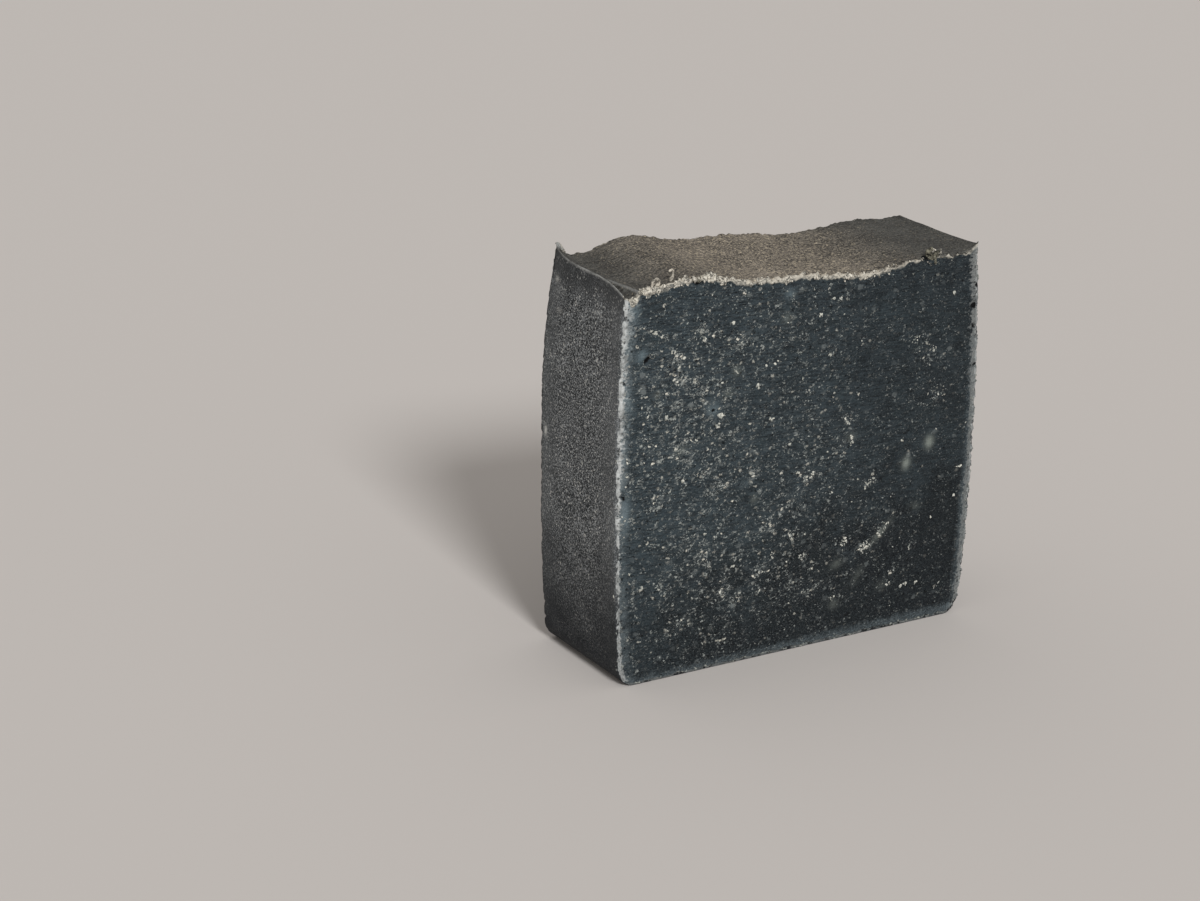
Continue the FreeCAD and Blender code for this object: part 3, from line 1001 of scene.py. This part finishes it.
tornLumps = [
    (24.6, -12.0, 0.5, 1.0, 1.0, 12, 0.7), (25.2, -12.0, 1.2, 1.1, 1.1, 16, 0.8),
    (26.1, -12.1, 0.5, 1.0, 0.9, 10, 0.7), (25.4, -12.3, -0.2, 1.4, 0.6, 8, 0.6),
    (-22.9, -12.5, -0.1, 0.8, 0.2, 5, 0.4),
]
groupedSizes = {"Roughness": 0.3}


def frontDepth(x, z):
    apart = np.hypot(roughPoints[:, 0] - x, roughPoints[:, 2] - z) + 100 * ~onFrontCut
    return roughPoints[np.argmin(apart), 1]


def brinkHeight(x):
    onBrink = (fromTop < 0.01) & atFront & (fromCut > 0.3) & (fromCut < 0.9)
    order = np.argsort(roughPoints[onBrink, 0])
    return np.interp(x, roughPoints[onBrink, 0][order], roughPoints[onBrink, 2][order])


def groupedCrumbs(flecks, lumps):
    # middle and size of each crumb, in the groups' own slants
    random = np.random.default_rng(5)
    middles, scales = [], []
    for x, z, length, width, slant, count, crumb in flecks:
        turn = math.radians(slant)
        for _ in range(count):
            along, off = random.uniform(-0.5, 0.5, 2) * (length, width) * (count > 1)
            px = x + along * math.cos(turn) - off * math.sin(turn)
            pz = z + along * math.sin(turn) + off * math.cos(turn)
            middles.append((px, frontDepth(px, pz), pz))
            scales.append((crumb, 0.2 + 0.1 * crumb, crumb) * random.uniform(0.6, 1.3, 3))
    for x, y, up, length, height, count, crumb in lumps:
        for _ in range(count):
            px = x + random.uniform(-0.5, 0.5) * length
            pz = brinkHeight(px) + up + random.uniform(-0.5, 0.5) * height
            middles.append((px, y + random.uniform(-0.3, 0.3), pz))
            scales.append(crumb * random.uniform(0.6, 1.3, 3))
    return np.array(middles), np.array(scales)


def groupTree(name, material):
    tree, size = newGeometryTree(name, groupedSizes)
    kind = {"data_type": "FLOAT_VECTOR"}
    scale = tree.node("GeometryNodeInputNamedAttribute", kind, {"Name": "crumbScale"})
    turn = tree.node("FunctionNodeRandomValue", {"data_type": "FLOAT"}, {2: -0.7, 3: 0.7, "Seed": 3}, 1)
    inputs = {"Points": size["Geometry"], "Instance": crumbBlank(tree), "Scale": scale,
              "Rotation": tree.node("ShaderNodeCombineXYZ", None, {1: turn})}
    placed = tree.node("GeometryNodeInstanceOnPoints", None, inputs)
    real = tree.node("GeometryNodeRealizeInstances", None, {"Geometry": placed})
    return closeGeometryTree(tree, torn(tree, real, 2.2, size["Roughness"] * 2), material)


def groupPiece(name, flecks, lumps, material, sizes):
    middles, scales = groupedCrumbs(flecks, lumps)
    mesh = bpy.data.meshes.new("crumb middles")
    mesh.from_pydata((middles * millimetre).tolist(), [], [])
    field = mesh.attributes.new("crumbScale", "FLOAT_VECTOR", "POINT")
    field.data.foreach_set("vector", (scales * millimetre).astype(np.float32).ravel())
    piece = grown(name, mesh, groupTree(name + " tree", material), sizes)
    keepInside(piece.data)
    print(name, "has", len(piece.data.polygons), "faces")
    return piece


print("Placing the flecks and lumps")
groupedPiece = groupPiece("grouped_flecks", fleckGroups, [], fleckSoap, groupedSizes)
lumpPiece = groupPiece("brink_lumps", [], brinkLumps, creamCrumb, groupedSizes)
tornPiece = groupPiece("torn_lump", [], tornLumps, tornSoap, {"Roughness": 0.5})


# Two curls of soap that stand on the front brink

curlSizes = {"Thickness": 0.23, "Roughness": 0.18}
curls = {
    # points (x, y, height above the brink) along each curl
    "ring": [(-31.4, -12.0, -0.4), (-31.7, -12.0, 0.4), (-31.4, -11.9, 1.1), (-30.7, -11.9, 1.4),
             (-30.1, -11.9, 1.1), (-30.0, -11.9, 0.5), (-30.5, -11.9, 0.2), (-30.9, -12.0, 0.4)],
    "hook": [(-27.6, -11.0, -0.3), (-27.1, -10.9, 0.2), (-26.7, -10.8, 0.9), (-26.8, -10.8, 1.5),
             (-27.2, -10.8, 1.8), (-27.6, -10.9, 1.6)],
}


def curlTree(material):
    tree, size = newGeometryTree("curl", curlSizes)
    curve = tree.node("GeometryNodeMeshToCurve", None, {"Mesh": size["Geometry"]})
    flowing = tree.node("GeometryNodeCurveSplineType", {"spline_type": "NURBS"}, {"Curve": curve})
    even = tree.node("GeometryNodeResampleCurve", None, {"Curve": flowing, "Count": 28})
    place = tree.scaled(tree.node("GeometryNodeInputPosition"), 1 / millimetre)
    radius = 0.6 + tree.noise(place, 0.9, 2.0) * 0.8
    sized = tree.node("GeometryNodeSetCurveRadius", None, {"Curve": even, "Radius": radius})
    inputs = {"Resolution": 10, "Radius": size["Thickness"] * millimetre}
    ring = tree.node("GeometryNodeCurvePrimitiveCircle", None, inputs)
    inputs = {"Curve": sized, "Profile Curve": ring, "Fill Caps": True}
    tube = tree.node("GeometryNodeCurveToMesh", None, inputs)
    return closeGeometryTree(tree, torn(tree, tube, 2.2, size["Roughness"] * 4), material)


def brinkCurls():
    points, edges = [], []
    for line in curls.values():
        first = len(points)
        placed = [(x, y, brinkHeight(x) + up) for x, y, up in line]
        points += [(x * millimetre, y * millimetre, z * millimetre) for x, y, z in placed]
        edges += [(n, n + 1) for n in range(first, len(points) - 1)]
    mesh = bpy.data.meshes.new("curl lines")
    mesh.from_pydata(points, edges, [])
    piece = grown("brink_curls", mesh, curlTree(greyCurl), curlSizes)
    keepInside(piece.data)
    return piece


print("Shaping the curls")
curlPiece = brinkCurls()

soapPieces = (soapSurface, brinkCrumbs, edgeCrumbs, cutFlecks)
soapPieces += (groupedPiece, lumpPiece, tornPiece, curlPiece)
for piece in soapPieces:
    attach(piece, "root")
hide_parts("soap_bar")
print("The soap is made of", len(soapPieces), "pieces")


# Floor, light and camera

studio = {
    "floorSize": 12.0,                      # metres
    "floorColour": srgb(209, 204, 200),
    "worldColour": srgb(205, 202, 199),
    "worldStrength": 0.7,
    "keyFrom": (-0.20, -0.95, 0.62),        # the way to the key light, seen from the soap
    "keyStrength": 2.2,
    "keySpread": 14.0,                      # degrees, for soft shadows
    "cameraPlace": (-0.23372, -0.32583, 0.16759),
    "cameraAim": (-0.02434, 0.01427, 0.03241),
    "cameraRoll": 1.386,                    # degrees
    "lens": 72.4,
}


def studioFloor():
    half = studio["floorSize"] / 2
    corners = [(-half, -half, 0), (half, -half, 0), (half, half, 0), (-half, half, 0)]
    mesh = bpy.data.meshes.new("floor")
    mesh.from_pydata(corners, [], [(0, 1, 2, 3)])
    floor = bpy.data.objects.new("floor", mesh)
    bpy.context.scene.collection.objects.link(floor)
    material, tree = newMaterial("pale floor")
    inputs = {"Base Color": studio["floorColour"], "Roughness": 0.9, "Specular IOR Level": 0.1}
    shader = tree.node("ShaderNodeBsdfPrincipled", None, inputs)
    tree.node("ShaderNodeOutputMaterial", None, {"Surface": shader})
    mesh.materials.append(material)


def keyLight():
    lamp = bpy.data.lights.new("key", "SUN")
    lamp.energy = studio["keyStrength"]
    lamp.angle = math.radians(studio["keySpread"])
    holder = bpy.data.objects.new("key", lamp)
    holder.location = studio["keyFrom"]
    holder.rotation_euler = Vector(studio["keyFrom"]).to_track_quat("Z", "Y").to_euler()
    bpy.context.scene.collection.objects.link(holder)


def studioWorld():
    world = bpy.data.worlds.new("studio")
    world.use_nodes = True
    world.node_tree.nodes.clear()
    tree = Tree(world.node_tree)
    inputs = {"Color": studio["worldColour"], "Strength": studio["worldStrength"]}
    tree.node("ShaderNodeOutputWorld", None, {"Surface": tree.node("ShaderNodeBackground", None, inputs)})
    bpy.context.scene.world = world


def studioCamera():
    camera = bpy.data.cameras.new("camera")
    camera.lens = studio["lens"]
    camera.clip_start = 0.01
    holder = bpy.data.objects.new("camera", camera)
    place = Vector(studio["cameraPlace"])
    turn = (Vector(studio["cameraAim"]) - place).to_track_quat("-Z", "Y")
    roll = Quaternion((0, 0, 1), math.radians(studio["cameraRoll"]))
    holder.location = place
    holder.rotation_euler = (turn @ roll).to_euler()
    bpy.context.scene.collection.objects.link(holder)
    bpy.context.scene.camera = holder


print("Setting up the studio")
studioFloor()
keyLight()
studioWorld()
studioCamera()
bpy.context.scene.view_settings.view_transform = "Standard"
